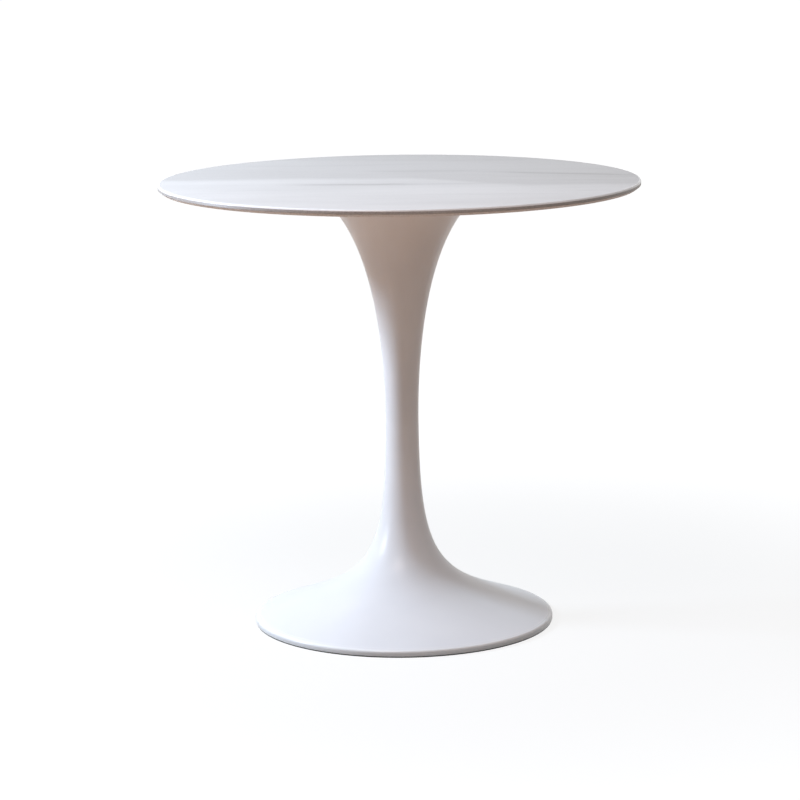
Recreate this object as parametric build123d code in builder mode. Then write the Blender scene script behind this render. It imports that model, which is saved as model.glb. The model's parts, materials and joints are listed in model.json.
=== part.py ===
from build123d import *
from math import cos, radians, sin, sqrt
import os

# Round pedestal table: a sintered-stone disc on a hollow trumpet of spun steel.
# A tie rod inside the pedestal pulls the plate under the stone and the ballast disc in
# the base towards each other, so that the trumpet is clamped between them.
# Millimetres, +Z up. The origin is on the floor, at the centre of the base.

# --- driving sizes ------------------------------------------------------------------
table_height = 750.0
top_diameter = 800.0
base_diameter = 505.0
mouth_diameter = 300.0  # upper end of the trumpet, under the stone
neck_diameter = 56.0
neck_height = 350.0  # of the narrowest section

# Sweep of the trumpet. An angle is measured from the horizontal. A pull is how far the
# curve is drawn along its end direction before it turns away.
mouth_angle = 28.5
mouth_pull = 127.0
neck_pull_up = 89.0
neck_pull_down = 265.0
skirt_pull = 202.0
skirt_angle = 19.5
skirt_edge_height = 12.0  # where the skirt meets the rolled lip
lip_radius = 4.5
shell_wall = 3.0

# Stone top.
slab_thickness = 12.0
slab_arris = 2.0  # polished round on the upper edge
bevel_height = 4.5  # undercut on the lower edge
bevel_width = 6.0

# Plate under the stone, with its gasket, inserts and screws.
gasket_thickness = 1.5
plate_thickness = 5.0
plate_inset = 20.0  # from the mouth of the trumpet to the edge of the plate
mouth_gap = 1.0  # shadow gap between the trumpet and the stone
screw_circle_diameter = 150.0
screw_count = 6
screw_diameter = 8.0
screw_length = 14.0
screw_head_diameter = 16.0
screw_head_height = 4.5
screw_head_round = 3.0
socket_across_flats = 5.0
socket_depth = 2.5
insert_diameter = 12.0
insert_length = 9.0

# Seat ring, welded inside the mouth.
seat_ring_thickness = 4.0
seat_ring_bore = 190.0

# Tie rod, the long nut welded to the plate, and the stack under the ballast disc.
rod_diameter = 12.0
rod_headroom = 3.5  # from the top of the rod to the stone
rod_tail = 3.0  # thread that stands out below the nut
boss_across_flats = 19.0
boss_height = 30.0
nut_across_flats = 18.0
nut_height = 10.8
spring_washer_diameter = 21.0
spring_washer_thickness = 2.5
spring_washer_slot = 2.0
clamp_washer_diameter = 50.0
clamp_washer_thickness = 4.0

# Cast-iron ballast disc.
ballast_level = 26.0  # underside above the floor
ballast_thickness = 8.0

# Soft edging on which the base stands.
edging_sole = 2.0
edging_upstand = 5.0
edging_leg = 2.8
edging_inset = 1.0  # back from the outer face of the base

# Clearances and broken edges.
drilled_clearance = 0.5  # radial, round a rod or screw
thread_clearance = 0.1  # radial, round a thread or a pressed insert
seat_clearance = 0.2  # between a disc and the wall that it is fitted to
cut_edge_chamfer = 0.5
turned_edge_chamfer = 1.0

# --- levels and radii that follow ---------------------------------------------------
slab_underside = table_height - slab_thickness
mouth_level = slab_underside - mouth_gap
plate_top = slab_underside - gasket_thickness
plate_underside = plate_top - plate_thickness
ballast_top = ballast_level + ballast_thickness
spring_washer_top = ballast_level - clamp_washer_thickness
nut_top = spring_washer_top - spring_washer_thickness
rod_bottom = nut_top - nut_height - rod_tail
rod_top = slab_underside - rod_headroom

top_radius = top_diameter / 2
base_radius = base_diameter / 2
mouth_radius = mouth_diameter / 2
neck_radius = neck_diameter / 2
plate_radius = mouth_radius - plate_inset
rod_radius = rod_diameter / 2
rod_hole_radius = rod_radius + drilled_clearance
insert_radius = insert_diameter / 2
insert_hole_radius = insert_radius + thread_clearance
screw_radius = screw_diameter / 2
screw_circle_radius = screw_circle_diameter / 2

os.makedirs("parts", exist_ok=True)


def level(height):
    """Horizontal plane at a height above the floor."""
    return Plane.XY.offset(height)


# --- the trumpet's section ----------------------------------------------------------
def trumpet_section(inset=0.0):
    """Half section inside the pedestal's skin, moved inwards by the inset.

    Two Bezier curves share a vertical tangent at the neck. A rolled lip and a short
    upright rim follow. The inner skin keeps the same pulls, so the wall thins a little
    where the bend is tightest, as spun metal does.
    """
    mouth_slope = Vector(cos(radians(mouth_angle)), sin(radians(mouth_angle)))
    skirt_slope = Vector(cos(radians(skirt_angle)), -sin(radians(skirt_angle)))
    mouth_inward = Vector(-mouth_slope.Y, mouth_slope.X)
    skirt_inward = Vector(skirt_slope.Y, -skirt_slope.X)
    lip_reach = lip_radius * (1 + skirt_slope.Y)
    upward = Vector(0, 1)

    mouth = Vector(mouth_radius, mouth_level) + mouth_inward * inset
    neck = Vector(neck_radius - inset, neck_height)
    skirt_edge = Vector(base_radius - lip_reach, skirt_edge_height) + skirt_inward * inset
    foot = Vector(base_radius - inset, edging_sole)

    with BuildSketch(Plane.XZ) as section:
        with BuildLine():
            Bezier(mouth, mouth - mouth_slope * mouth_pull, neck + upward * neck_pull_up, neck)
            Bezier(neck, neck - upward * neck_pull_down, skirt_edge - skirt_slope * skirt_pull, skirt_edge)
            lip = JernArc(skirt_edge, skirt_slope, lip_radius - inset, skirt_angle - 90)
            Polyline(lip @ 1, foot, (0, foot.Y), (0, mouth.Y), mouth)
        make_face()
    return section.sketch


def trumpet_hollow(clearance=0.0):
    """Space inside the pedestal's wall as a solid, smaller all round by the clearance."""
    with BuildPart() as hollow:
        add(trumpet_section(shell_wall + clearance))
        revolve(axis=Axis.Z)
    return hollow.part


def hollow_radius(height):
    """Radius of the widest disc that fits inside the pedestal at a height."""
    cut = section(trumpet_hollow(seat_clearance), section_by=level(height))
    return cut.bounding_box().max.X


# --- pedestal -----------------------------------------------------------------------
with BuildPart() as pedestal_shell:
    add(trumpet_section())
    revolve(axis=Axis.Z)
    add(trumpet_hollow(), mode=Mode.SUBTRACT)
pedestal_shell.part.label = "pedestal_shell"
export_step(pedestal_shell.part, "parts/pedestal_shell.step")

with BuildPart() as seat_ring:
    with BuildSketch(level(plate_underside)):
        Circle(mouth_radius)
        Circle(seat_ring_bore / 2, mode=Mode.SUBTRACT)
    extrude(amount=-seat_ring_thickness)
    add(trumpet_hollow(seat_clearance), mode=Mode.INTERSECT)
seat_ring.part.label = "seat_ring"
export_step(seat_ring.part, "parts/seat_ring.step")

# --- stone top ----------------------------------------------------------------------
with BuildPart() as tabletop_slab:
    with BuildSketch(level(slab_underside)):
        Circle(top_radius)
    extrude(amount=slab_thickness)
    underside = tabletop_slab.faces().sort_by(Axis.Z)[0]
    fillet(edges().sort_by(Axis.Z)[-1], slab_arris)
    chamfer(edges().sort_by(Axis.Z)[0], bevel_width, bevel_height, reference=underside)
    with Locations(faces().sort_by(Axis.Z)[0]):
        with PolarLocations(screw_circle_radius, screw_count):
            Hole(insert_hole_radius, depth=insert_length)
tabletop_slab.part.label = "tabletop_slab"
export_step(tabletop_slab.part, "parts/tabletop_slab.step")

with BuildPart() as slab_inserts:
    with BuildSketch(level(slab_underside)):
        with PolarLocations(screw_circle_radius, screw_count):
            Circle(insert_radius)
            Circle(screw_radius + thread_clearance, mode=Mode.SUBTRACT)
    extrude(amount=insert_length)
    mouths = edges().filter_by(GeomType.CIRCLE).group_by(Axis.Z)[0]
    chamfer(mouths.filter_by(lambda rim: rim.radius < insert_radius), cut_edge_chamfer)
slab_inserts.part.label = "slab_inserts"
export_step(slab_inserts.part, "parts/slab_inserts.step")

# --- plate and gasket under the stone -----------------------------------------------
with BuildPart() as slab_gasket:
    with BuildSketch(level(plate_top)):
        Circle(plate_radius)
        Circle(rod_hole_radius, mode=Mode.SUBTRACT)
        with PolarLocations(screw_circle_radius, screw_count):
            Circle(insert_hole_radius, mode=Mode.SUBTRACT)
    extrude(amount=gasket_thickness)
slab_gasket.part.label = "slab_gasket"
export_step(slab_gasket.part, "parts/slab_gasket.step")

with BuildPart() as mounting_plate:
    with BuildSketch(level(plate_underside)):
        Circle(plate_radius)
        Circle(rod_hole_radius, mode=Mode.SUBTRACT)
        with PolarLocations(screw_circle_radius, screw_count):
            Circle(screw_radius + drilled_clearance, mode=Mode.SUBTRACT)
    extrude(amount=plate_thickness)
    chamfer(edges().filter_by(GeomType.CIRCLE).sort_by(SortBy.RADIUS)[-2:], cut_edge_chamfer)
mounting_plate.part.label = "mounting_plate"
export_step(mounting_plate.part, "parts/mounting_plate.step")

with BuildPart() as plate_screws:
    with BuildSketch(level(plate_underside)):
        with PolarLocations(screw_circle_radius, screw_count):
            Circle(screw_head_diameter / 2)
    extrude(amount=-screw_head_height)
    fillet(edges().group_by(Axis.Z)[0], screw_head_round)
    with BuildSketch(level(plate_underside)):
        with PolarLocations(screw_circle_radius, screw_count):
            Circle(screw_radius)
    extrude(amount=screw_length)
    chamfer(edges().group_by(Axis.Z)[-1], turned_edge_chamfer)
    with BuildSketch(level(plate_underside - screw_head_height)):
        with PolarLocations(screw_circle_radius, screw_count):
            RegularPolygon(socket_across_flats / 2, 6, major_radius=False)
    extrude(amount=socket_depth, mode=Mode.SUBTRACT)
plate_screws.part.label = "plate_screws"
export_step(plate_screws.part, "parts/plate_screws.step")


# --- tie rod, nuts and washers ------------------------------------------------------
def hex_nut(across_flats, height, top):
    """Hexagonal nut round the rod, with its corners turned off at both ends."""
    corner_radius = across_flats / sqrt(3)
    with BuildPart() as nut:
        with BuildSketch(level(top)):
            Circle(corner_radius)
        extrude(amount=-height)
        chamfer(edges().filter_by(GeomType.CIRCLE), turned_edge_chamfer)
        with BuildSketch(level(top)):
            RegularPolygon(across_flats / 2, 6, major_radius=False)
        extrude(amount=-height, mode=Mode.INTERSECT)
        with Locations((0, 0, top)):
            Hole(rod_radius + thread_clearance)
    return nut.part


rod_boss = hex_nut(boss_across_flats, boss_height, plate_underside)
rod_boss.label = "rod_boss"
export_step(rod_boss, "parts/rod_boss.step")

rod_nut = hex_nut(nut_across_flats, nut_height, nut_top)
rod_nut.label = "rod_nut"
export_step(rod_nut, "parts/rod_nut.step")

with BuildPart() as tie_rod:
    with BuildSketch(level(rod_bottom)):
        Circle(rod_radius)
    extrude(amount=rod_top - rod_bottom)
    chamfer(edges().filter_by(GeomType.CIRCLE), turned_edge_chamfer)
tie_rod.part.label = "tie_rod"
export_step(tie_rod.part, "parts/tie_rod.step")

with BuildPart() as spring_washer:
    with BuildSketch(level(nut_top)):
        Circle(spring_washer_diameter / 2)
        Circle(rod_hole_radius, mode=Mode.SUBTRACT)
        with Locations((spring_washer_diameter / 2, 0)):
            Rectangle(spring_washer_diameter, spring_washer_slot, mode=Mode.SUBTRACT)
    extrude(amount=spring_washer_thickness)
spring_washer.part.label = "spring_washer"
export_step(spring_washer.part, "parts/spring_washer.step")

with BuildPart() as clamp_washer:
    with BuildSketch(level(spring_washer_top)):
        Circle(clamp_washer_diameter / 2)
        Circle(rod_hole_radius, mode=Mode.SUBTRACT)
    extrude(amount=clamp_washer_thickness)
    chamfer(edges().filter_by(GeomType.CIRCLE).sort_by(SortBy.RADIUS)[-2:], cut_edge_chamfer)
clamp_washer.part.label = "clamp_washer"
export_step(clamp_washer.part, "parts/clamp_washer.step")

# --- base ---------------------------------------------------------------------------
ballast_radius = hollow_radius(ballast_top)
with BuildPart() as ballast_disc:
    with BuildSketch(level(ballast_level)):
        Circle(ballast_radius)
        Circle(rod_hole_radius, mode=Mode.SUBTRACT)
    extrude(amount=ballast_thickness)
ballast_disc.part.label = "ballast_disc"
export_step(ballast_disc.part, "parts/ballast_disc.step")

with BuildPart() as base_edging:
    with BuildSketch(Plane.XZ):
        with BuildLine():
            sole_outer = base_radius - edging_inset
            upstand_outer = base_radius - shell_wall - seat_clearance
            inner = upstand_outer - edging_leg
            Polyline(
                (inner, 0),
                (sole_outer, 0),
                (sole_outer, edging_sole),
                (upstand_outer, edging_sole),
                (upstand_outer, edging_sole + edging_upstand),
                (inner, edging_sole + edging_upstand),
                close=True,
            )
        make_face()
    revolve(axis=Axis.Z)
base_edging.part.label = "base_edging"
export_step(base_edging.part, "parts/base_edging.step")
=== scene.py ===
# %% [markdown]
# # A round pedestal table
#
# The table is a disc of white sintered stone, 12 mm thick and 800 mm across, that stands
# on a hollow trumpet of spun steel under white baked enamel. The lesson dresses the
# engineering model of that table: the pieces that show get finer meshes, and every piece
# gets a finish made of nodes. Nothing is moved, because all sizes come from the model.
#
# The first cell loads the model and keeps its box, so that the last cell can say whether
# the dressed table is still the same size.

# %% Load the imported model
import json
from math import cos, pi, radians, sin, tan, tau

import bmesh
import bpy
from mathutils import Matrix, Vector
from mathutils.geometry import interpolate_bezier

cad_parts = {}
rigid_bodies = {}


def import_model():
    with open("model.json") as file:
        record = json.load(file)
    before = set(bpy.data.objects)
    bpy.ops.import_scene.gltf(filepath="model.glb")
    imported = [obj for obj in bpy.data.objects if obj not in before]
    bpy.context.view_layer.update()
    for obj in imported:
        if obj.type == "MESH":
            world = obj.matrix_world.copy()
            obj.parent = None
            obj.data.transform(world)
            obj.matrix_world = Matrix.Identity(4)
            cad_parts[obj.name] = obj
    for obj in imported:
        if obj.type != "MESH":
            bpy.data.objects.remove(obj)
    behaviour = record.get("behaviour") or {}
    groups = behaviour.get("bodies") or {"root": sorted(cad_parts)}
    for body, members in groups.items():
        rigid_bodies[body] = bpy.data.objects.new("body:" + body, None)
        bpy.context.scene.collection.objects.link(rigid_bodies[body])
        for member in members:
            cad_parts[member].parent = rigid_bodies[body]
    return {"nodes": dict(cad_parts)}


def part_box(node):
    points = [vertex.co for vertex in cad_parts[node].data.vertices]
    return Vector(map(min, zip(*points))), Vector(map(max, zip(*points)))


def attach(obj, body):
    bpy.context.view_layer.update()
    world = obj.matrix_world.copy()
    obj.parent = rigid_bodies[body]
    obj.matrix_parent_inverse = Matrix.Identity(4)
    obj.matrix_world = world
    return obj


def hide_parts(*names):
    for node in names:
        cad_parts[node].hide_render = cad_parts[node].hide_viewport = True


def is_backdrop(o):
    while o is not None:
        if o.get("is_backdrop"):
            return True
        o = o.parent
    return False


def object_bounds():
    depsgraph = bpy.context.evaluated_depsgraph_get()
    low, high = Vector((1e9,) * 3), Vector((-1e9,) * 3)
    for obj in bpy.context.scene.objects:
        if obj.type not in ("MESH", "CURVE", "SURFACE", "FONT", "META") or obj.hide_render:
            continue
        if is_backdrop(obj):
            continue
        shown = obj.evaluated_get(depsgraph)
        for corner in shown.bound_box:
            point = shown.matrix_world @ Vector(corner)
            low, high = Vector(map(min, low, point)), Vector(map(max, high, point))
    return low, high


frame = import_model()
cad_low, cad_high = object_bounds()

print(f"nodes: {len(frame['nodes'])}, box {tuple(round(c, 4) for c in cad_high - cad_low)} m")

# %% [markdown]
# ## Helpers for finishes
#
# A colour is written as a hex value, the way a paint chart gives it. Blender mixes light
# in linear values, so one function turns the hex value into those.
#
# Every finish is a small tree of nodes. One function adds a node of any kind, with its
# settings and with a value or a link for each of its inputs, so the trees below read from
# top to bottom like a recipe. The two stops of a colour ramp are settings too. Two short
# functions begin a finish and send its shader to the output.

# %% Colour and node helpers
def linear(hex_colour):
    """A paint-chart colour such as "F2F2F0" as linear red, green, blue and alpha."""
    channels = [int(hex_colour[i : i + 2], 16) / 255 for i in (0, 2, 4)]
    return [c / 12.92 if c <= 0.04045 else ((c + 0.055) / 1.055) ** 2.4 for c in channels] + [1.0]


def add_node(tree, kind, inputs=None, stops=(), **settings):
    """Adds one node. Each input, by name or number, takes a value or another node's output.

    A colour ramp also takes its two stops, each a position and a hex colour.
    """
    node = tree.nodes.new(kind)
    for name, value in settings.items():
        setattr(node, name, value)
    for number, (position, hex_colour) in enumerate(stops):
        node.color_ramp.elements[number].position = position
        node.color_ramp.elements[number].color = linear(hex_colour)
    for name, value in (inputs or {}).items():
        if isinstance(value, bpy.types.NodeSocket):
            tree.links.new(value, node.inputs[name])
        else:
            node.inputs[name].default_value = value
    return node


def new_finish(name):
    """An empty node tree for a finish, and the object's own coordinates in metres."""
    finish = bpy.data.materials.new(name)
    finish.use_nodes = True
    finish.node_tree.nodes.clear()
    place = add_node(finish.node_tree, "ShaderNodeTexCoord").outputs["Object"]
    return finish, finish.node_tree, place


def set_surface(tree, shader):
    """Sends a shader to the material's output."""
    add_node(tree, "ShaderNodeOutputMaterial", {"Surface": shader.outputs[0]})


print("white F2F2F0 in linear values:", [round(c, 3) for c in linear("F2F2F0")])

# %% [markdown]
# ## Sintered stone, honed face
#
# The slab is a ceramic sheet, pressed from mineral powder and fired, with its pattern
# printed and fused into a white face. It is honed, not polished, so it reflects the room
# as a soft sheen. The pattern imitates marble that was cut along its bed: long, nearly
# straight grey streaks, some broad and faint, a few hair-thin.
#
# Streaks could be painted on an image, but nodes stay sharp at any distance. The pattern
# has four layers. Placed veins are straight lines in coordinates that a slow noise
# bends, so that each can be put where it belongs. Hairlines are the level lines of a
# stretched noise. A broad grey makes the top darker behind the middle. Clouds are a
# stretched noise by itself.

# %% Placed veins of the stone face
MM = 0.001

# Each vein: middle X and Y, half of its length, rise over its length, strength. In mm.
PLACED_VEINS = [
    (-66, -60, 150, -4, 0.62),
    (78, -62, 100, -4, 0.20),
    (280, 66, 180, -112, 0.44),
    (36, 130, 130, -12, 0.22),
    (-205, -124, 150, 5, 0.12),
    (-120, 232, 260, 16, 0.08),
    (90, 300, 230, -14, 0.10),
    (120, -210, 260, -10, 0.08),
]
# A vein is a dark core in a faint halo. Each has a half width and a share of the strength.
VEIN_CORE = (7 * MM, 0.62)
VEIN_HALO = (34 * MM, 0.38)
FADE_START = 0.25  # the share of half its length at which a vein begins to fade


def vein_layer(tree, along, across):
    """Strength of the placed veins, 0 to 1, at coordinates along and across the slab."""
    total = None
    for middle_x, middle_y, half_length, rise, strength in PLACED_VEINS:
        slope = rise / (2 * half_length)
        offset = middle_y * MM - slope * middle_x * MM
        line = add_node(
            tree,
            "ShaderNodeMath",
            {0: along, 1: slope, 2: offset},
            operation="MULTIPLY_ADD",
        )
        gap = add_node(
            tree,
            "ShaderNodeMath",
            {0: across, 1: line.outputs[0]},
            operation="SUBTRACT",
        )
        gap = add_node(tree, "ShaderNodeMath", {0: gap.outputs[0]}, operation="ABSOLUTE")
        core, halo = (
            add_node(
                tree,
                "ShaderNodeMapRange",
                {
                    "Value": gap.outputs[0],
                    "From Max": half_width,
                    "To Min": share * strength,
                    "To Max": 0.0,
                },
                interpolation_type="SMOOTHSTEP",
            )
            for half_width, share in (VEIN_CORE, VEIN_HALO)
        )
        both = add_node(
            tree, "ShaderNodeMath", {0: core.outputs[0], 1: halo.outputs[0]}, operation="ADD"
        )
        reach = add_node(tree, "ShaderNodeMath", {0: along, 1: middle_x * MM}, operation="SUBTRACT")
        reach = add_node(tree, "ShaderNodeMath", {0: reach.outputs[0]}, operation="ABSOLUTE")
        fade = add_node(
            tree,
            "ShaderNodeMapRange",
            {
                "Value": reach.outputs[0],
                "From Min": FADE_START * half_length * MM,
                "From Max": half_length * MM,
                "To Min": 1.0,
                "To Max": 0.0,
            },
            interpolation_type="SMOOTHSTEP",
        )
        drawn = add_node(
            tree, "ShaderNodeMath", {0: both.outputs[0], 1: fade.outputs[0]}, operation="MULTIPLY"
        ).outputs[0]
        if total is None:
            total = drawn
        else:
            strongest = add_node(
                tree, "ShaderNodeMath", {0: total, 1: drawn}, operation="MAXIMUM"
            )
            total = strongest.outputs[0]
    return total


print(f"placed veins: {len(PLACED_VEINS)}")

# %% [markdown]
# The veins read two coordinates, along X and across in Y. A noise with patches of about
# 200 mm bends the second one, so that no vein is a ruled line.

# %% Veins of the honed white face
BEND = 44 * MM

stone_face, tree, place = new_finish("sintered_stone_honed_face")
bend = add_node(
    tree,
    "ShaderNodeTexNoise",
    {"Vector": place, "Scale": 5.0, "Detail": 3.0, "Roughness": 0.55},
)
split = add_node(tree, "ShaderNodeSeparateXYZ", {"Vector": place})
across = add_node(
    tree,
    "ShaderNodeMath",
    {0: bend.outputs[0], 1: BEND, 2: split.outputs["Y"]},
    operation="MULTIPLY_ADD",
)
# The noise averages a half, so half of its pull is taken off again.
across = add_node(
    tree, "ShaderNodeMath", {0: across.outputs[0], 1: BEND / 2}, operation="SUBTRACT"
)
veins = vein_layer(tree, split.outputs["X"], across.outputs[0])
print("veins:", len(tree.nodes), "nodes so far")

# %% [markdown]
# A noise has a value at each point, and the points where it is a half lie on winding
# lines, like the contour lines of a map. A noise that is stretched along X gives long ones,
# and a slower noise shows them in some patches only. The broad grey is a soft step across
# the slab: plain in front of the step, greyer behind it.

# %% Hairlines and the grey behind the middle
BACK_GREY_RUN = 220 * MM  # how far along X the grey takes to widen
BACK_GREY_WIDENING = 120 * MM
BACK_GREY_SOFTNESS = 50 * MM

streak_place = add_node(
    tree,
    "ShaderNodeMapping",
    {"Vector": place, "Rotation": (0, 0, radians(2.5)), "Scale": (1.1, 11.0, 1.0)},
)
streaks = add_node(
    tree,
    "ShaderNodeTexNoise",
    {
        "Vector": streak_place.outputs[0],
        "Scale": 1.0,
        "Detail": 5.0,
        "Roughness": 0.5,
        "Distortion": 0.25,
    },
)
off_level = add_node(tree, "ShaderNodeMath", {0: streaks.outputs[0], 1: 0.5}, operation="SUBTRACT")
off_level = add_node(tree, "ShaderNodeMath", {0: off_level.outputs[0]}, operation="ABSOLUTE")
hairlines = add_node(
    tree,
    "ShaderNodeMapRange",
    {"Value": off_level.outputs[0], "From Max": 0.022, "To Min": 0.08, "To Max": 0.0},
    interpolation_type="SMOOTHSTEP",
)
patches = add_node(tree, "ShaderNodeTexNoise", {"Vector": place, "Scale": 3.2, "Detail": 1.0})
patches = add_node(
    tree,
    "ShaderNodeMapRange",
    {"Value": patches.outputs[0], "From Min": 0.45, "From Max": 0.66},
    interpolation_type="SMOOTHSTEP",
)
hairlines = add_node(
    tree,
    "ShaderNodeMath",
    {0: hairlines.outputs[0], 1: patches.outputs[0]},
    operation="MULTIPLY",
)
ink = add_node(tree, "ShaderNodeMath", {0: veins, 1: hairlines.outputs[0]}, operation="MAXIMUM")
# The grey reaches further forward on the right.
widening = add_node(
    tree,
    "ShaderNodeMapRange",
    {"Value": split.outputs["X"], "From Max": BACK_GREY_RUN, "To Max": BACK_GREY_WIDENING},
    interpolation_type="SMOOTHSTEP",
)
depth = add_node(
    tree,
    "ShaderNodeMath",
    {0: across.outputs[0], 1: widening.outputs[0]},
    operation="ADD",
)
back_grey = add_node(
    tree,
    "ShaderNodeMapRange",
    {"Value": depth.outputs[0], "From Max": BACK_GREY_SOFTNESS, "To Max": 0.28},
    interpolation_type="SMOOTHSTEP",
)
ink = add_node(
    tree,
    "ShaderNodeMath",
    {0: ink.outputs[0], 1: back_grey.outputs[0]},
    operation="ADD",
    use_clamp=True,
)
print("hairlines and bed:", len(tree.nodes), "nodes so far")

# %% [markdown]
# The ink is now a number from 0 to 1, and it mixes a grey into the white ground. Clouds
# make the ground uneven, and the tooth of the honing gives the sheen.

# %% Ground, colour and sheen of the honed face
cloud_place = add_node(tree, "ShaderNodeMapping", {"Vector": place, "Scale": (1.6, 6.5, 1.0)})
clouds = add_node(
    tree,
    "ShaderNodeTexNoise",
    {"Vector": cloud_place.outputs[0], "Scale": 1.0, "Detail": 4.0, "Roughness": 0.6},
)
ground = add_node(
    tree,
    "ShaderNodeValToRGB",
    {"Fac": clouds.outputs[0]},
    stops=[(0.34, "D0CECC"), (0.62, "DCDAD8")],
)
veined = add_node(
    tree,
    "ShaderNodeMix",
    {0: ink.outputs[0], 6: ground.outputs[0], 7: linear("85827F")},
    data_type="RGBA",
)
# Honing leaves a fine tooth of about 0.1 mm, drawn here at 3 mm so that it shows.
tooth = add_node(tree, "ShaderNodeTexNoise", {"Vector": place, "Scale": 330.0, "Detail": 2.0})
sheen = add_node(
    tree,
    "ShaderNodeMapRange",
    {"Value": tooth.outputs[0], "From Min": 0.3, "From Max": 0.7, "To Min": 0.34, "To Max": 0.42},
)
relief = add_node(
    tree,
    "ShaderNodeBump",
    {"Strength": 0.05, "Distance": 0.1 * MM, "Height": tooth.outputs[0]},
)
shader = add_node(
    tree,
    "ShaderNodeBsdfPrincipled",
    {
        "Base Color": veined.outputs[2],
        "Roughness": sheen.outputs[0],
        "IOR": 1.5,
        "Normal": relief.outputs[0],
    },
)
set_surface(tree, shader)
print("stone face:", len(tree.nodes), "nodes")

# %% [markdown]
# ## Sintered stone, polished round
#
# The wheels that round the upper edge go through finer and finer grits. They leave the
# white layer without its print there, and smoother than the honed face. Its whiter colour
# is partly that unprinted white and partly a painted highlight, so the edge shows as a
# thin light line all the way round.

# %% The polished round
round_white_and_painted_highlight, tree, place = new_finish("sintered_stone_polished_round_painted_highlight")
marks = add_node(tree, "ShaderNodeTexNoise", {"Vector": place, "Scale": 180.0, "Detail": 2.0})
# The light tone is partly the unprinted white layer and partly a painted highlight on the round.
tone = add_node(
    tree,
    "ShaderNodeValToRGB",
    {"Fac": marks.outputs[0]},
    stops=[(0.3, "F2F2F1"), (0.7, "FAFAF9")],
)
gloss = add_node(
    tree,
    "ShaderNodeMapRange",
    {"Value": marks.outputs[0], "From Min": 0.3, "From Max": 0.7, "To Min": 0.16, "To Max": 0.22},
)
shader = add_node(
    tree,
    "ShaderNodeBsdfPrincipled",
    {"Base Color": tone.outputs[0], "Roughness": gloss.outputs[0], "IOR": 1.5},
)
set_surface(tree, shader)
print("polished round: wheel marks of about 6 mm")

# %% [markdown]
# ## Sintered stone, cut edge
#
# Only the face is white. The body of the sheet is fired clay and feldspar, warm greige
# with fine dark grains. Three finishes of it show. The back is as the kiln left it. The
# upright wall went through the edging wheels, and wheels close the pores, which makes it
# darker, as if wet. The undercut is only ground. Its pale colour is partly that ground
# body and partly painted light: the bounce from the floor below, painted into it.

# %% The body of the slab
def stone_body(name, dark, light, roughness):
    """The grainy body of the sheet, from the colour of its grains to that of its clay."""
    finish, tree, place = new_finish(name)
    grains = add_node(tree, "ShaderNodeTexNoise", {"Vector": place, "Scale": 420.0, "Detail": 2.0})
    body = add_node(
        tree,
        "ShaderNodeValToRGB",
        {"Fac": grains.outputs[0]},
        stops=[(0.32, dark), (0.60, light)],
    )
    relief = add_node(
        tree,
        "ShaderNodeBump",
        {"Strength": 0.2, "Distance": 0.1 * MM, "Height": grains.outputs[0]},
    )
    shader = add_node(
        tree,
        "ShaderNodeBsdfPrincipled",
        {
            "Base Color": body.outputs[0],
            "Roughness": roughness,
            "IOR": 1.5,
            "Normal": relief.outputs[0],
        },
    )
    set_surface(tree, shader)
    return finish


stone_wall = stone_body("sintered_stone_wheeled_wall", "968F8A", "ABA49F", 0.45)
# The undercut's pale colour is partly the ground body and partly painted light, the floor's bounce
# painted into it.
undercut_ground_and_painted_bounce = stone_body("sintered_stone_undercut_ground_and_painted_bounce", "DADADA", "EAEAEB", 0.7)
stone_back = stone_body("sintered_stone_fired_back", "B4AEA8", "CCC8C3", 0.6)
print("stone body: grains of about 2.4 mm, drawn coarse")

# %% [markdown]
# ## Baked enamel
#
# The trumpet is sprayed with white polyester powder and baked. The powder flows together
# but never quite levels, which leaves a faint orange peel with bumps a few millimetres
# across. The film is semi-gloss, so a window shows in it as a soft bright patch. Charged
# powder crowds on edges, so the coat is thicker and a little glossier on the lip, and the
# lip is also painted whiter: a painted highlight along it.

# %% The white enamel
LIP_HEIGHT = 11 * MM  # the middle of the rolled lip
LIP_SPREAD = 4 * MM
LIP_GLOSS = -0.12  # what crowding adds to the roughness

enamel, tree, place = new_finish("baked_white_enamel")
peel = add_node(tree, "ShaderNodeTexNoise", {"Vector": place, "Scale": 260.0, "Detail": 1.0})
relief = add_node(
    tree,
    "ShaderNodeBump",
    {"Strength": 0.06, "Distance": 0.15 * MM, "Height": peel.outputs[0]},
)
thick_film = add_node(tree, "ShaderNodeTexNoise", {"Vector": place, "Scale": 7.0, "Detail": 2.0})
tone = add_node(
    tree,
    "ShaderNodeValToRGB",
    {"Fac": thick_film.outputs[0]},
    stops=[(0.3, "EBEBEC"), (0.7, "F1F1F1")],
)
gloss = add_node(
    tree,
    "ShaderNodeMapRange",
    {
        "Value": thick_film.outputs[0],
        "From Min": 0.3,
        "From Max": 0.7,
        "To Min": 0.30,
        "To Max": 0.32,
    },
)
# The lip is the only part of the trumpet at this height.
split = add_node(tree, "ShaderNodeSeparateXYZ", {"Vector": place})
from_lip = add_node(
    tree, "ShaderNodeMath", {0: split.outputs["Z"], 1: LIP_HEIGHT}, operation="SUBTRACT"
)
from_lip = add_node(tree, "ShaderNodeMath", {0: from_lip.outputs[0]}, operation="ABSOLUTE")
crowded_gloss_and_painted_highlight = add_node(
    tree,
    "ShaderNodeMapRange",
    {"Value": from_lip.outputs[0], "From Max": LIP_SPREAD, "To Min": 0.9, "To Max": 0.0},
    interpolation_type="SMOOTHSTEP",
)
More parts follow.
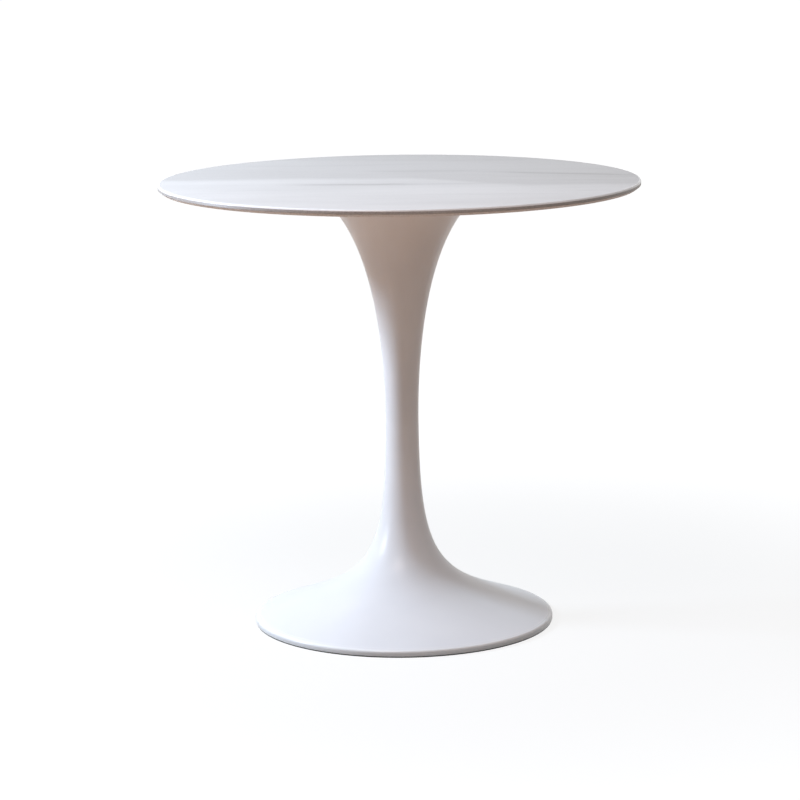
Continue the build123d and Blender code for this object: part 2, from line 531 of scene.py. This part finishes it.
# Towards the lip the colour is mixed to a brighter white: a painted highlight along the rolled lip.
coat = add_node(
    tree,
    "ShaderNodeMix",
    {0: crowded_gloss_and_painted_highlight.outputs[0], 6: tone.outputs[0], 7: linear("FBFBFA")},
    data_type="RGBA",
)
gloss = add_node(
    tree,
    "ShaderNodeMath",
    {0: crowded_gloss_and_painted_highlight.outputs[0], 1: LIP_GLOSS, 2: gloss.outputs[0]},
    operation="MULTIPLY_ADD",
)
shader = add_node(
    tree,
    "ShaderNodeBsdfPrincipled",
    {
        "Base Color": coat.outputs[2],
        "Roughness": gloss.outputs[0],
        "IOR": 1.42,
        "Normal": relief.outputs[0],
    },
)
set_surface(tree, shader)
print("enamel: orange peel of about 4 mm")

# %% [markdown]
# ## The darker finishes
#
# The rest of the table is hidden or faces the floor, and each piece keeps the finish of
# its trade: extruded rubber under the rim, grey primer over the sand-cast ballast disc,
# textured black powder on the plate, turned brass for the inserts, and bright zinc on
# every fastener.

# %% Black rubber
rubber, tree, place = new_finish("extruded_black_rubber")
bloom = add_node(
    tree,
    "ShaderNodeTexNoise",
    {"Vector": place, "Scale": 90.0, "Detail": 4.0, "Roughness": 0.6},
)
shade = add_node(
    tree,
    "ShaderNodeValToRGB",
    {"Fac": bloom.outputs[0]},
    stops=[(0.35, "232324"), (0.75, "3A3A3B")],
)
relief = add_node(
    tree,
    "ShaderNodeBump",
    {"Strength": 0.25, "Distance": 0.2 * MM, "Height": bloom.outputs[0]},
)
shader = add_node(
    tree,
    "ShaderNodeBsdfPrincipled",
    {"Base Color": shade.outputs[0], "Roughness": 0.72, "IOR": 1.52, "Normal": relief.outputs[0]},
)
set_surface(tree, shader)
print("rubber: bloom in patches of about 11 mm")

# %% [markdown]
# A sand casting keeps the print of the grains, here 3 mm apart so that they show, and a
# few shallow pits. Primer softens both, and dust makes it uneven.

# %% Primed cast iron
cast_iron, tree, place = new_finish("primed_cast_iron")
sand = add_node(
    tree,
    "ShaderNodeTexNoise",
    {"Vector": place, "Scale": 340.0, "Detail": 3.0, "Roughness": 0.6},
)
pits = add_node(tree, "ShaderNodeTexVoronoi", {"Vector": place, "Scale": 95.0})
pits = add_node(
    tree,
    "ShaderNodeMapRange",
    {"Value": pits.outputs["Distance"], "From Min": 0.05, "From Max": 0.22},
    interpolation_type="SMOOTHSTEP",
)
skin = add_node(
    tree,
    "ShaderNodeMath",
    {0: sand.outputs[0], 1: pits.outputs[0]},
    operation="MULTIPLY",
)
relief = add_node(
    tree,
    "ShaderNodeBump",
    {"Strength": 0.55, "Distance": 0.4 * MM, "Height": skin.outputs[0]},
)
dust = add_node(
    tree,
    "ShaderNodeTexNoise",
    {"Vector": place, "Scale": 14.0, "Detail": 5.0, "Roughness": 0.6},
)
primer = add_node(
    tree,
    "ShaderNodeValToRGB",
    {"Fac": dust.outputs[0]},
    stops=[(0.3, "46484B"), (0.75, "63656A")],
)
shader = add_node(
    tree,
    "ShaderNodeBsdfPrincipled",
    {"Base Color": primer.outputs[0], "Roughness": 0.58, "IOR": 1.5, "Normal": relief.outputs[0]},
)
set_surface(tree, shader)
print("cast iron: sand grain 3 mm, pits 10 mm apart")

# %% [markdown]
# Textured black powder is matt, with bumps about a millimetre apart, drawn at 2 mm.

# %% Textured black powder coat
black_powder, tree, place = new_finish("textured_black_powder_coat")
bumps = add_node(tree, "ShaderNodeTexNoise", {"Vector": place, "Scale": 520.0, "Detail": 1.0})
coat = add_node(
    tree,
    "ShaderNodeValToRGB",
    {"Fac": bumps.outputs[0]},
    stops=[(0.35, "1C1C1D"), (0.7, "303031")],
)
relief = add_node(
    tree,
    "ShaderNodeBump",
    {"Strength": 0.5, "Distance": 0.2 * MM, "Height": bumps.outputs[0]},
)
shader = add_node(
    tree,
    "ShaderNodeBsdfPrincipled",
    {"Base Color": coat.outputs[0], "Roughness": 0.55, "IOR": 1.5, "Normal": relief.outputs[0]},
)
set_surface(tree, shader)
print("powder coat: bumps of 2 mm")

# %% [markdown]
# Bright zinc is plated on to drawn or turned steel, so it is a metal with cloudy patches
# of blue-grey, and a fine unevenness that the tool left shows through.

# %% Bright zinc plate
zinc, tree, place = new_finish("bright_zinc_plate")
cloud = add_node(tree, "ShaderNodeTexNoise", {"Vector": place, "Scale": 120.0, "Detail": 3.0})
plate_tone = add_node(
    tree,
    "ShaderNodeValToRGB",
    {"Fac": cloud.outputs[0]},
    stops=[(0.35, "A9AEB4"), (0.7, "CFD1D2")],
)
turned = add_node(tree, "ShaderNodeTexNoise", {"Vector": place, "Scale": 900.0, "Detail": 1.0})
wear = add_node(
    tree,
    "ShaderNodeMapRange",
    {"Value": cloud.outputs[0], "To Min": 0.24, "To Max": 0.42},
)
relief = add_node(
    tree,
    "ShaderNodeBump",
    {"Strength": 0.12, "Distance": 0.05 * MM, "Height": turned.outputs[0]},
)
shader = add_node(
    tree,
    "ShaderNodeBsdfPrincipled",
    {
        "Base Color": plate_tone.outputs[0],
        "Metallic": 1.0,
        "Roughness": wear.outputs[0],
        "Normal": relief.outputs[0],
    },
)
set_surface(tree, shader)
print("zinc: clouds of 8 mm")

# %% [markdown]
# Brass is turned from bar. Air dulls it in soft patches, from gold towards brown.

# %% Turned brass
brass, tree, place = new_finish("turned_brass")
tarnish = add_node(tree, "ShaderNodeTexNoise", {"Vector": place, "Scale": 160.0, "Detail": 3.0})
brass_tone = add_node(
    tree,
    "ShaderNodeValToRGB",
    {"Fac": tarnish.outputs[0]},
    stops=[(0.35, "A88645"), (0.7, "D8B76C")],
)
shader = add_node(
    tree,
    "ShaderNodeBsdfPrincipled",
    {"Base Color": brass_tone.outputs[0], "Metallic": 1.0, "Roughness": 0.32},
)
set_surface(tree, shader)
print("brass: tarnish in patches of 6 mm")

# %% [markdown]
# ## Turning a piece
#
# Nearly everything on this table is round about one upright axis, so nearly everything
# can be made as a turner makes it: draw half of the section, and spin it round the axis.
# A lathe modifier would do the same, but the spin operator works at once on the mesh, and
# its rings can then be bevelled, bridged or filled.
#
# The small functions below draw a section, spin it, find a ring again by its radius and
# height, and put the finished mesh into the scene.

# %% Turning helpers
AXIS = Vector((0, 0, 1))
CENTRE = Vector((0, 0, 0))
SEAM = 0.001 * MM  # corners of one spin that are nearer than this are one corner
JOINT = 0.01 * MM  # the same where two spins meet, or two turns of a thread
ON_RING = 0.02 * MM  # how near a corner lies to the ring that it is part of
SHARP_ANGLE = radians(32)


def draw_section(mesh, points, closed=False):
    """Vertices at radius and height, in metres, joined by edges."""
    corners = [mesh.verts.new((radius, 0, height)) for radius, height in points]
    pairs = list(zip(corners, corners[1:]))
    if closed:
        pairs.append((corners[-1], corners[0]))
    return corners + [mesh.edges.new(pair) for pair in pairs]


def turn(mesh, section, steps):
    """Spins a section once round the upright axis and closes the seam."""
    bmesh.ops.spin(
        mesh,
        geom=section,
        cent=CENTRE,
        axis=AXIS,
        dvec=CENTRE,
        angle=tau,
        steps=steps,
        use_merge=True,
    )
    bmesh.ops.remove_doubles(mesh, verts=mesh.verts, dist=SEAM)


def ring(mesh, radius, height):
    """The edges that run round the axis at a radius and height."""

    def on_ring(corner):
        return max(abs(corner.co.xy.length - radius), abs(corner.co.z - height)) < ON_RING

    return [edge for edge in mesh.edges if all(on_ring(corner) for corner in edge.verts)]


def round_rings(mesh, places, size, segments):
    """Rounds the edges at each radius and height over by a size."""
    edges = [edge for radius, height in places for edge in ring(mesh, radius, height)]
    bmesh.ops.bevel(
        mesh,
        geom=edges,
        offset=size,
        segments=segments,
        profile=0.5,
        affect="EDGES",
        material=-1,
    )


def join(whole, part):
    """Moves one mesh into another."""
    data = bpy.data.meshes.new("joined")
    part.to_mesh(data)
    whole.from_mesh(data)
    part.free()
    bpy.data.meshes.remove(data)


def place_piece(name, mesh, finishes, stands_for):
    """Turns the faces outward and puts the mesh into the scene in place of a CAD node."""
    bmesh.ops.recalc_face_normals(mesh, faces=mesh.faces)
    data = bpy.data.meshes.new(name)
    mesh.to_mesh(data)
    mesh.free()
    for finish in finishes:
        data.materials.append(finish)
    data.shade_smooth()
    data.set_sharp_from_angle(angle=SHARP_ANGLE)
    piece = bpy.data.objects.new(name, data)
    bpy.context.scene.collection.objects.link(piece)
    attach(piece, "root")
    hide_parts(stands_for)
    print(f"{name}: {sum(len(face.vertices) - 2 for face in data.polygons)} triangles")


# %% [markdown]
# ## The stone top
#
# A saw and a set of profile wheels give the disc its edge: a small polished round on top,
# a short upright wall, and a slanted undercut that makes the stone look thinner than it
# is. The disc is turned with sharp corners first, and the corners are then bevelled.

# %% Turn the slab
low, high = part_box("tabletop_slab")
inserts_low, inserts_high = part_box("slab_inserts")
TOP_RADIUS = high.x
BEVEL_WIDTH = 6 * MM
BEVEL_HEIGHT = 4.5 * MM
SLAB_STEPS = 288
bottom_radius = TOP_RADIUS - BEVEL_WIDTH

# The ring half way to the middle keeps the triangles of the face from being slivers.
slab = bmesh.new()
section = draw_section(
    slab,
    [
        (bottom_radius, low.z),
        (TOP_RADIUS, low.z + BEVEL_HEIGHT),
        (TOP_RADIUS, high.z),
        (0.5 * TOP_RADIUS, high.z),
        (0, high.z),
    ],
)
turn(slab, section, SLAB_STEPS)
print("slab:", len(slab.faces), "faces, open below")

# %% [markdown]
# Six blind holes for brass inserts are drilled from below. The underside is still open, so
# they are cut by filling it between the outer ring and six small circles, and then pulling
# the circles up. A boolean would cut them too, but a fill keeps every edge as it was drawn.

# %% Drill the slab
# The inserts stand on a circle round the axis, the first one on +X, so their box gives
# both radii: its X holds the circle and one insert, its Y only sin 60 of the circle.
INSERTS = 6
INSERT_FIT = 0.1 * MM
HOLE_STEPS = 32
insert_circle = (inserts_high.x - inserts_high.y) / (1 - sin(radians(60)))
hole_radius = inserts_high.x - insert_circle + INSERT_FIT
hole_rims = []
for turn_number in range(INSERTS):
    angle = tau * turn_number / INSERTS
    middle = Matrix.Translation((insert_circle * cos(angle), insert_circle * sin(angle), low.z))
    made = bmesh.ops.create_circle(slab, radius=hole_radius, segments=HOLE_STEPS, matrix=middle)
    hole_rims += list({edge for corner in made["verts"] for edge in corner.link_edges})
outer_rim = ring(slab, bottom_radius, low.z)
bmesh.ops.triangle_fill(slab, edges=outer_rim + hole_rims, use_beauty=True)
raised = bmesh.ops.extrude_edge_only(slab, edges=hole_rims)["geom"]
bmesh.ops.translate(
    slab,
    verts=[part for part in raised if isinstance(part, bmesh.types.BMVert)],
    vec=AXIS * (inserts_high.z - inserts_low.z),
)
bmesh.ops.holes_fill(
    slab, edges=[part for part in raised if isinstance(part, bmesh.types.BMEdge)]
)
print("holes of", round(2 * hole_radius / MM, 1), "mm, faces", len(slab.faces))

# %% [markdown]
# The upper edge gets the full round, and the two edges below it only lose their sharpness.
#
# The white layer is as deep as the polished round. The wall, the undercut and the back
# show the body of the sheet, each as its own wheel or the kiln left it, and the undercut
# also carries painted bounce light. The height of a face, and how far out it lies, say
# which finish it takes.

# %% Round the edges and give each face its finish
ARRIS = 3 * MM
EDGE_BREAK = 0.5 * MM  # what is taken off a sharp edge, here and on the pieces below
BACK_MARGIN = 1 * MM  # how far in from the undercut the fired back begins
round_rings(slab, [(TOP_RADIUS, high.z)], ARRIS, segments=8)
undercut_rings = [(TOP_RADIUS, low.z + BEVEL_HEIGHT), (bottom_radius, low.z)]
round_rings(slab, undercut_rings, EDGE_BREAK, segments=3)

slab_finishes = [stone_face, round_white_and_painted_highlight, stone_wall, undercut_ground_and_painted_bounce, stone_back]
for face in slab.faces:
    middle = face.calc_center_median()
    if middle.z < low.z + BEVEL_HEIGHT and middle.xy.length < bottom_radius - BACK_MARGIN:
        finish = stone_back
    elif middle.z < low.z + BEVEL_HEIGHT:
        finish = undercut_ground_and_painted_bounce
    elif middle.z < high.z - ARRIS:
        finish = stone_wall
    elif middle.xy.length > TOP_RADIUS - ARRIS:
        finish = round_white_and_painted_highlight
    else:
        finish = stone_face
    face.material_index = slab_finishes.index(finish)
place_piece("stone_top", slab, slab_finishes, "tabletop_slab")

# %% [markdown]
# ## The trumpet
#
# The pedestal is two spinnings of 3 mm steel, welded at the neck and ground flush. Its
# section is two Bezier curves that share an upright tangent at the neck, a rolled lip and
# a short upright rim. The inner skin is the same section moved in by the wall.

# %% Draw the skins
shell_low, shell_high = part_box("pedestal_shell")
BASE_RADIUS = shell_high.x
MOUTH_RADIUS = 150 * MM
NECK_RADIUS = 28 * MM
NECK_HEIGHT = 350 * MM
LIP_RADIUS = 4.5 * MM
SKIRT_EDGE_HEIGHT = 12 * MM
WALL = 3 * MM
# How far the end of a curve pulls it along its tangent.
MOUTH_PULL = 127 * MM
NECK_PULL_UP = 89 * MM
NECK_PULL_DOWN = 265 * MM
SKIRT_PULL = 202 * MM
MOUTH_ANGLE = 28.5  # degrees from level, as is the next
SKIRT_ANGLE = 19.5
# The points of each curve, close enough that no corner shows.
UPPER_POINTS = 44
LOWER_POINTS = 60
LIP_POINTS = 8
mouth_slope = Vector((cos(radians(MOUTH_ANGLE)), 0, sin(radians(MOUTH_ANGLE))))
skirt_slope = Vector((cos(radians(SKIRT_ANGLE)), 0, -sin(radians(SKIRT_ANGLE))))


def skin(inset):
    """Points down the trumpet's section from the mouth to the foot, moved in by an inset."""
    mouth_inward = Vector((-mouth_slope.z, 0, mouth_slope.x))
    skirt_inward = Vector((skirt_slope.z, 0, -skirt_slope.x))
    mouth = Vector((MOUTH_RADIUS, 0, shell_high.z)) + mouth_inward * inset
    neck = Vector((NECK_RADIUS - inset, 0, NECK_HEIGHT))
    lip_reach = LIP_RADIUS * (1 + skirt_slope.z)
    skirt_edge = Vector((BASE_RADIUS - lip_reach, 0, SKIRT_EDGE_HEIGHT)) + skirt_inward * inset
    # Past the skirt edge an arc of 70.5 degrees turns the section upright. A Bezier curve
    # follows an arc when its pulls are 4/3 tan(a/4) of the radius.
    radius = LIP_RADIUS - inset
    tilt = radians(SKIRT_ANGLE)
    lip_pull = radius * 4 / 3 * tan(radians(90 - SKIRT_ANGLE) / 4)
    lip_end = skirt_edge + Vector((radius * (1 - sin(tilt)), 0, -radius * cos(tilt)))
    upper = interpolate_bezier(
        mouth,
        mouth - mouth_slope * MOUTH_PULL,
        neck + AXIS * NECK_PULL_UP,
        neck,
        UPPER_POINTS,
    )
    lower = interpolate_bezier(
        neck,
        neck - AXIS * NECK_PULL_DOWN,
        skirt_edge - skirt_slope * SKIRT_PULL,
        skirt_edge,
        LOWER_POINTS,
    )
    lip = interpolate_bezier(
        skirt_edge,
        skirt_edge + skirt_slope * lip_pull,
        lip_end + AXIS * lip_pull,
        lip_end,
        LIP_POINTS,
    )
    foot = Vector((BASE_RADIUS - inset, 0, shell_low.z))
    line = upper + lower[1:] + lip[1:] + [foot]
    return [(point.x, point.z) for point in line]


def levelled(line, height):
    """The part of a falling line of points from a height downward."""
    first = next(number for number, point in enumerate(line) if point[1] < height)
    (radius_above, above), (radius_below, below) = line[first - 1], line[first]
    share = (above - height) / (above - below)
    return [(radius_above + share * (radius_below - radius_above), height)] + line[first:]


outer_line = skin(0)
inner_line = levelled(skin(WALL), shell_high.z)
print(f"outer skin: {len(outer_line)} points, lip {outer_line[-2][0] / MM:.2f} mm from the axis")

# %% [markdown]
# The two skins are spun as open tubes, and so are the two flat rings that join them, at
# the mouth and at the foot. Merging the shared corners closes the shell. The bevel at the
# foot needs faces that agree on which side is out, so they are turned that way first.

# %% Spin and join the skins
TRUMPET_STEPS = 192
mouth_ring = [outer_line[0], inner_line[0]]
foot_ring = [outer_line[-1], inner_line[-1]]
trumpet = bmesh.new()
for line in (outer_line, inner_line, mouth_ring, foot_ring):
    part = bmesh.new()
    turn(part, draw_section(part, line), TRUMPET_STEPS)
    join(trumpet, part)
bmesh.ops.remove_doubles(trumpet, verts=trumpet.verts, dist=JOINT)
bmesh.ops.recalc_face_normals(trumpet, faces=trumpet.faces)
foot_rims = [(BASE_RADIUS, shell_low.z), (BASE_RADIUS - WALL, shell_low.z)]
round_rings(trumpet, foot_rims, EDGE_BREAK, segments=2)
print("open edges left:", sum(edge.is_boundary for edge in trumpet.edges))
place_piece("trumpet_pedestal", trumpet, [enamel], "pedestal_shell")

# %% [markdown]
# ## The soft edging
#
# A rubber strip with an L-shaped section lines the rim of the base. Its upright leg grips
# the inside of the wall, and its sole keeps the steel 2 mm off the floor. It is extruded,
# so its corners are slightly round.

# %% Turn the edging
low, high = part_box("base_edging")
LEG_FIT = 0.2 * MM
LEG_WIDTH = 2.8 * MM
EDGING_STEPS = 224
leg_outer = BASE_RADIUS - WALL - LEG_FIT
leg_inner = leg_outer - LEG_WIDTH
edging = bmesh.new()
corners = [
    (leg_inner, low.z),
    (high.x, low.z),
    (high.x, shell_low.z),
    (leg_outer, shell_low.z),
    (leg_outer, high.z),
    (leg_inner, high.z),
]
turn(edging, draw_section(edging, corners, closed=True), EDGING_STEPS)
# All corners but the inner one of the L, where the leg meets the sole.
outer_corners = corners[:3] + corners[4:]
round_rings(edging, outer_corners, EDGE_BREAK, segments=3)
place_piece("rim_edging", edging, [rubber], "base_edging")

# %% [markdown]
# ## The ballast disc
#
# A plain cast-iron disc closes the base. Molten iron can't fill a sharp corner, so the
# rims of a casting are round, while the drilled hole for the tie rod stays crisp.

# %% Turn the ballast
low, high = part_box("ballast_disc")
rod_low, rod_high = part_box("tie_rod")
ROD_CLEARANCE = 0.5 * MM
CAST_ROUND = 2 * MM
DRILLED_ROUND = 0.4 * MM
BALLAST_STEPS = 192
rod_hole = rod_high.x + ROD_CLEARANCE
ballast = bmesh.new()
corners = [(rod_hole, low.z), (high.x, low.z), (high.x, high.z), (rod_hole, high.z)]
turn(ballast, draw_section(ballast, corners, closed=True), BALLAST_STEPS)
round_rings(ballast, [(high.x, low.z), (high.x, high.z)], CAST_ROUND, segments=5)
round_rings(ballast, [(rod_hole, low.z), (rod_hole, high.z)], DRILLED_ROUND, segments=1)
place_piece("ballast", ballast, [cast_iron], "ballast_disc")

# %% [markdown]
# ## The tie rod
#
# The rod is M12, so its thread climbs 1.75 mm in each turn. A spin that also moves along
# the axis makes a real helix: the section of one thread is spun as often as there are
# threads, and each turn then meets the one below it. A few turns more than the length
# needs are spun, so that two level cuts can trim the ends.

# %% Cut the threads
PITCH = 1.75 * MM
THREAD_DEPTH = 1.0 * MM
THREAD_LENGTH = 35 * MM
STEPS_A_TURN = 24
SPARE_TURNS = 3
# Where the root ends and where the crest starts and ends, as shares of the pitch.
ROOT_END, CREST_START, CREST_END = 0.12, 0.44, 0.68


def threaded_end(mesh, bottom, top):
    """One closed length of M12 thread between two heights."""
    crest = rod_high.x
    root = crest - THREAD_DEPTH
    start = bottom - PITCH
    profile = [
        (root, start),
        (root, start + ROOT_END * PITCH),
        (crest, start + CREST_START * PITCH),
        (crest, start + CREST_END * PITCH),
        (root, start + PITCH),
    ]
    count = int((top - bottom) / PITCH) + SPARE_TURNS
    section = draw_section(mesh, profile)
    bmesh.ops.spin(
        mesh,
        geom=section,
        cent=CENTRE,
        axis=AXIS,
        dvec=AXIS * PITCH / STEPS_A_TURN,
        angle=tau * count,
        steps=STEPS_A_TURN * count,
    )
    bmesh.ops.remove_doubles(mesh, verts=mesh.verts, dist=JOINT)
    for height, direction in ((top, AXIS), (bottom, -AXIS)):
        bmesh.ops.bisect_plane(
            mesh,
            geom=mesh.verts[:] + mesh.edges[:] + mesh.faces[:],
            plane_co=(0, 0, height),
            plane_no=direction,
            clear_outer=True,
        )
    bmesh.ops.holes_fill(mesh, edges=[edge for edge in mesh.edges if edge.is_boundary])


print(f"thread: {THREAD_LENGTH / PITCH:.0f} turns at each end")

# %% [markdown]
# Only the ends of the rod are threaded. A thread that is rolled and not cut lifts its
# crests as much as it sinks its roots, so the plain shank is half a thread thinner than
# the crests.

# %% Put the rod together
SHANK_STEPS = 48
rod = bmesh.new()
shank_bottom = rod_low.z + THREAD_LENGTH
shank_top = rod_high.z - THREAD_LENGTH
shank_radius = rod_high.x - THREAD_DEPTH / 2
shank = [
    (0, shank_bottom),
    (shank_radius, shank_bottom),
    (shank_radius, shank_top),
    (0, shank_top),
]
turn(rod, draw_section(rod, shank), SHANK_STEPS)
for bottom, top in ((rod_low.z, shank_bottom), (shank_top, rod_high.z)):
    end = bmesh.new()
    threaded_end(end, bottom, top)
    join(rod, end)
print("open edges left:", sum(edge.is_boundary for edge in rod.edges))
place_piece("tie_rod_m12", rod, [zinc], "tie_rod")

# %% [markdown]
# ## Pieces that keep the engineer's mesh
#
# The nuts, washers, screws, plate and ring are already the right shape, so they stay as
# they are and only get a finish.

# %% Finish the other nodes
NODE_FINISHES = {
    "seat_ring": enamel,
    "mounting_plate": black_powder,
    "slab_gasket": rubber,
    "slab_inserts": brass,
    "plate_screws": zinc,
    "rod_boss": zinc,
    "clamp_washer": zinc,
    "spring_washer": zinc,
    "rod_nut": zinc,
}
for node_name, finish in NODE_FINISHES.items():
    data = frame["nodes"][node_name].data
    if not data.materials:
        data.materials.append(finish)
    for slot_number in range(len(data.materials)):
        data.materials[slot_number] = finish
print("nodes with a finish:", len(NODE_FINISHES))

# %% [markdown]
# ## The room
#
# The table stands on a plain pale floor. To what it lights, the floor is a warm mid-tone,
# as a wooden floor would be, which is what tints the shaded trumpet under the top. Round
# the foot it is a darker grey, which is painted shade. To the camera it is nearly white by
# its own glow, and a little real shading on top of that keeps the table's soft shadow.
#
# One material can do both, because a node tells which kind of ray has met a surface. The
# floor and the sky both ask the same question, so the question is a function.

# %% Floor paint
GLOW_START = 0.45  # metres from the axis, as are the next three
GLOW_END = 1.9
# Up to this radius the floor that the table sees is a darker grey, painted shade round the foot.
PAINTED_SHADE_END = 0.28
WOOD_START = 0.36


def seen_plainly(tree):
    """1 for a ray of the camera, straight, mirrored or through glass, and 0 for any other."""
    path = add_node(tree, "ShaderNodeLightPath")
    seen = path.outputs["Is Camera Ray"]
    for kind_of_ray in ("Is Glossy Ray", "Is Transmission Ray"):
        either = add_node(
            tree, "ShaderNodeMath", {0: seen, 1: path.outputs[kind_of_ray]}, operation="MAXIMUM"
        )
        seen = either.outputs[0]
    return seen


floor_paint, tree, place = new_finish("pale_studio_floor")
away = add_node(tree, "ShaderNodeVectorMath", {0: place}, operation="LENGTH")
glow = add_node(
    tree,
    "ShaderNodeMapRange",
    {
        "Value": away.outputs["Value"],
        "From Min": GLOW_START,
        "From Max": GLOW_END,
        "To Min": 0.84,
        "To Max": 1.0,
    },
    interpolation_type="SMOOTHSTEP",
)
lit = add_node(tree, "ShaderNodeBsdfDiffuse", {"Color": linear("6F6F6F")})
bright = add_node(tree, "ShaderNodeEmission", {"Strength": glow.outputs[0]})
pale = add_node(tree, "ShaderNodeAddShader", {0: lit.outputs[0], 1: bright.outputs[0]})
# Seen by the table, the floor is a darker grey near the foot, which is painted shade, and warm wood
# further out.
wood_and_painted_shade = add_node(
    tree,
    "ShaderNodeValToRGB",
    {"Fac": away.outputs["Value"]},
    stops=[(PAINTED_SHADE_END, "97938B"), (WOOD_START, "CEA88B")],
)
warm = add_node(tree, "ShaderNodeBsdfDiffuse", {"Color": wood_and_painted_shade.outputs[0]})
shown = add_node(
    tree,
    "ShaderNodeMixShader",
    {0: seen_plainly(tree), 1: warm.outputs[0], 2: pale.outputs[0]},
)
set_surface(tree, shown)
print("floor paint:", len(tree.nodes), "nodes")

# %% [markdown]
# The floor itself is one wide square, so that its edge is never in the picture.

# %% Floor
FLOOR_REACH = 30  # metres from the axis to each side
boards = bmesh.new()
bmesh.ops.create_grid(boards, x_segments=1, y_segments=1, size=FLOOR_REACH)
data = bpy.data.meshes.new("floor")
boards.to_mesh(data)
boards.free()
data.materials.append(floor_paint)
floor = bpy.data.objects.new("floor", data)
bpy.context.scene.collection.objects.link(floor)
floor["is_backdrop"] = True
print("floor at height", cad_low.z)

# %% [markdown]
# ## Daylight
#
# The sky lights the table weakly and evenly, a little blue, as daylight that has been
# round the room. The camera sees plain white in its place, behind the floor's far end.

# %% Daylight
world = bpy.data.worlds.new("daylight")
world.use_nodes = True
tree = world.node_tree
tree.nodes.clear()
seen = seen_plainly(tree)
sky = add_node(tree, "ShaderNodeBackground", {"Color": linear("F6F9FF"), "Strength": 0.19})
white = add_node(tree, "ShaderNodeBackground", {"Color": (1, 1, 1, 1), "Strength": 1.0})
shown = add_node(
    tree, "ShaderNodeMixShader", {0: seen, 1: sky.outputs[0], 2: white.outputs[0]}
)
add_node(tree, "ShaderNodeOutputWorld", {"Surface": shown.outputs[0]})
bpy.context.scene.world = world
print("sky strength", sky.inputs["Strength"].default_value)

# %% [markdown]
# ## Window and lamps
#
# A window on the left is a wide, low, cool area lamp. A weaker, warm one hangs above and in
# front, and a very weak one stands for a white wall on the right.
#
# A window glares in a level top when someone looks across it towards the light. Here the
# window is hidden from glossy rays, as a polarising filter would do, and a small weak
# pane that stands lower than the top leaves its soft bright patch on the enamel alone.

# %% Window and lamps
TABLE_MIDDLE = (0, 0, 0.40)
TRUMPET_FOOT = (0, 0, 0.13)
COOL = "D8EAFF"


def area_lamp(name, place, target, width, height, power, hex_colour):
    """A soft rectangular lamp at a place, turned to face a target. The power is in watts."""
    lamp = bpy.data.lights.new(name, "AREA")
    lamp.shape = "RECTANGLE"
    lamp.size = width
    lamp.size_y = height
    lamp.energy = power
    lamp.color = linear(hex_colour)[:3]
    made = bpy.data.objects.new(name, lamp)
    made.location = place
    made.rotation_euler = (Vector(target) - made.location).to_track_quat("-Z", "Y").to_euler()
    bpy.context.scene.collection.objects.link(made)
    return made


window = area_lamp("window", (-1.85, 0.04, 1.61), TABLE_MIDDLE, 0.7, 0.48, 58, COOL)
window.visible_glossy = False
# The pane is only mirrored: it brightens no surface and hides nothing from the camera.
low_pane = area_lamp("low_pane", (-1.28, -0.20, 0.58), TRUMPET_FOOT, 0.36, 0.3, 8, COOL)
low_pane.visible_diffuse = False
low_pane.visible_camera = False
area_lamp("ceiling", (-0.62, -1.46, 2.70), TABLE_MIDDLE, 1.0, 1.0, 26, "FCECEB")
area_lamp("wall", (2.0, -0.5, 1.6), TABLE_MIDDLE, 0.8, 1.2, 2.2, "FFFFFF")
lamps = [thing.name for thing in bpy.context.scene.objects if thing.type == "LIGHT"]
print("lamps:", ", ".join(lamps))

# %% [markdown]
# ## The camera
#
# A long lens from nearly five metres away and a little above the top, so that the round top
# shows as a flat oval and the trumpet's sides are nearly undistorted. It is rolled by
# about two thirds of a degree, as a hand-held camera is.

# %% Camera
CAMERA_PLACE = Vector((-0.003, -4.9, 1.31))
CAMERA_PITCH = radians(10.766)
CAMERA_ROLL = radians(-0.65)
camera_data = bpy.data.cameras.new("camera")
camera_data.lens = 133.4
camera_data.sensor_width = 36
camera_data.clip_end = 100
camera = bpy.data.objects.new("camera", camera_data)
camera.location = CAMERA_PLACE
camera.rotation_euler = (
    Matrix.Rotation(pi / 2 - CAMERA_PITCH, 3, "X") @ Matrix.Rotation(CAMERA_ROLL, 3, "Z")
).to_euler()
bpy.context.scene.collection.objects.link(camera)
bpy.context.scene.camera = camera
bpy.context.scene.view_settings.view_transform = "Standard"
print("lens", camera_data.lens, "mm")

# %% [markdown]
# ## Last check
#
# The dressed table must fill the same box as the engineer's model.

# %% Compare the boxes and finish
new_low, new_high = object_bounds()
difference = max((new_high - cad_high).length, (new_low - cad_low).length)
print(f"largest difference {difference / MM:.3f} mm")
